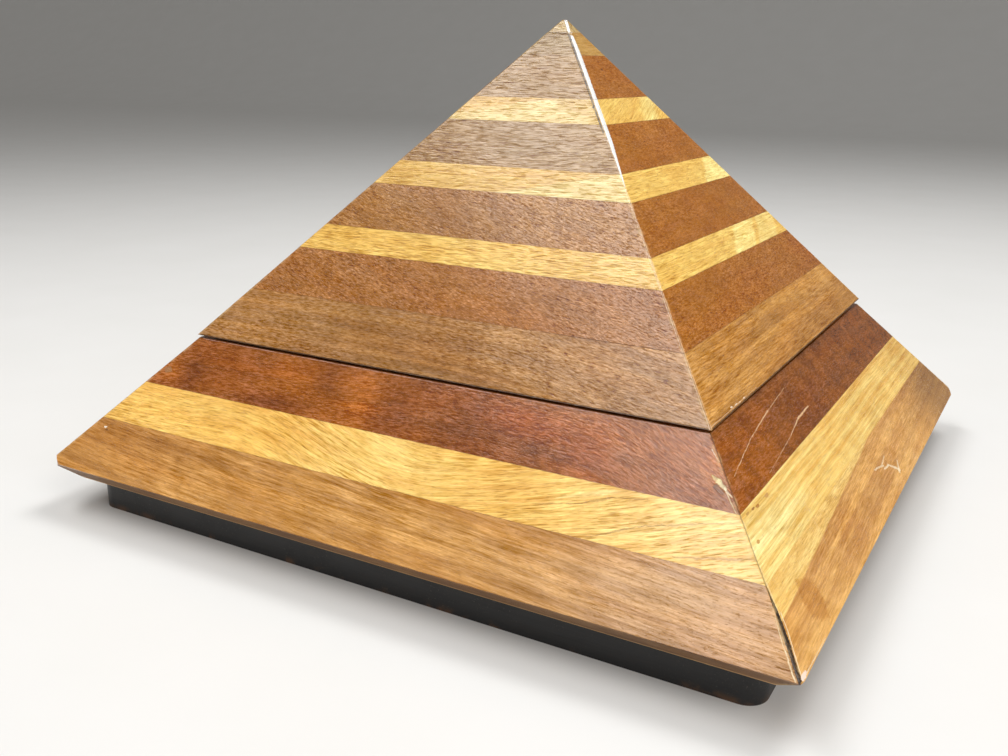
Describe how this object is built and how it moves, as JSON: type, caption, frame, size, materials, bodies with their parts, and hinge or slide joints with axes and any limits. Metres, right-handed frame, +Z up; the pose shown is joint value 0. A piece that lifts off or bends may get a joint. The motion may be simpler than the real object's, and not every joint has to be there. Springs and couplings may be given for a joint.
{
  "type": "dice box with hinged lid",
  "caption": "Striped wooden pyramid on a recessed plinth, whose upper part is a lid hinged at the back over a felt-lined dice tray.",
  "frame": {"origin": "on the table, under the middle of the box", "axes": "+Z up; -Y is the front, +Y is the hinged back"},
  "size_m": [0.305, 0.305, 0.1955],
  "materials": {
    "light_wood": "golden yellow hardwood, oiled and varnished",
    "brown_wood": "open-pored red-brown hardwood, varnished",
    "walnut_wood": "walnut-brown hardwood, varnished",
    "red_brown_wood": "dark red-brown hardwood, glossy varnish",
    "black_painted_wood": "black paint, satin",
    "plywood": "plain birch plywood",
    "felt": "dark green wool felt",
    "brass": "plain drawn brass"
  },
  "bodies": {
    "base": {"base_back_bottom_strip": "walnut_wood", "base_back_middle_strip": "light_wood", "base_back_top_strip": "red_brown_wood", "base_front_bottom_strip": "walnut_wood", "base_front_middle_strip": "light_wood", "base_front_top_strip": "red_brown_wood", "base_left_bottom_strip": "walnut_wood", "base_left_middle_strip": "light_wood", "base_left_top_strip": "red_brown_wood", "base_right_bottom_strip": "walnut_wood", "base_right_middle_strip": "light_wood", "base_right_top_strip": "red_brown_wood", "bottom_board": "plywood", "hinge_base_leaves": "brass", "hinge_base_screws": "brass", "hinge_pins": "brass", "plinth_rail_back": "black_painted_wood", "plinth_rail_front": "black_painted_wood", "plinth_rail_left": "black_painted_wood", "plinth_rail_right": "black_painted_wood", "tray_felt": "felt"},
    "lid": {"hinge_lid_leaves": "brass", "hinge_lid_screws": "brass", "lid_back_brown_strip_1": "brown_wood", "lid_back_brown_strip_2": "brown_wood", "lid_back_brown_strip_3": "brown_wood", "lid_back_brown_strip_4": "brown_wood", "lid_back_light_strip_1": "light_wood", "lid_back_light_strip_2": "light_wood", "lid_back_light_strip_3": "light_wood", "lid_back_light_strip_4": "light_wood", "lid_back_rim_strip": "walnut_wood", "lid_front_brown_strip_1": "brown_wood", "lid_front_brown_strip_2": "brown_wood", "lid_front_brown_strip_3": "brown_wood", "lid_front_brown_strip_4": "brown_wood", "lid_front_light_strip_1": "light_wood", "lid_front_light_strip_2": "light_wood", "lid_front_light_strip_3": "light_wood", "lid_front_light_strip_4": "light_wood", "lid_front_rim_strip": "walnut_wood", "lid_left_brown_strip_1": "brown_wood", "lid_left_brown_strip_2": "brown_wood", "lid_left_brown_strip_3": "brown_wood", "lid_left_brown_strip_4": "brown_wood", "lid_left_light_strip_1": "light_wood", "lid_left_light_strip_2": "light_wood", "lid_left_light_strip_3": "light_wood", "lid_left_light_strip_4": "light_wood", "lid_left_rim_strip": "walnut_wood", "lid_right_brown_strip_1": "brown_wood", "lid_right_brown_strip_2": "brown_wood", "lid_right_brown_strip_3": "brown_wood", "lid_right_brown_strip_4": "brown_wood", "lid_right_light_strip_1": "light_wood", "lid_right_light_strip_2": "light_wood", "lid_right_light_strip_3": "light_wood", "lid_right_light_strip_4": "light_wood", "lid_right_rim_strip": "walnut_wood", "lid_tip": "light_wood"}
  },
  "joints": [
    {"name": "lid_hinge", "type": "hinge", "parent": "base", "child": "lid", "pos_m": [0, 0.1113, 0.07065], "axis": [-1, 0, 0], "range_deg": [0, 155]}
  ]
}
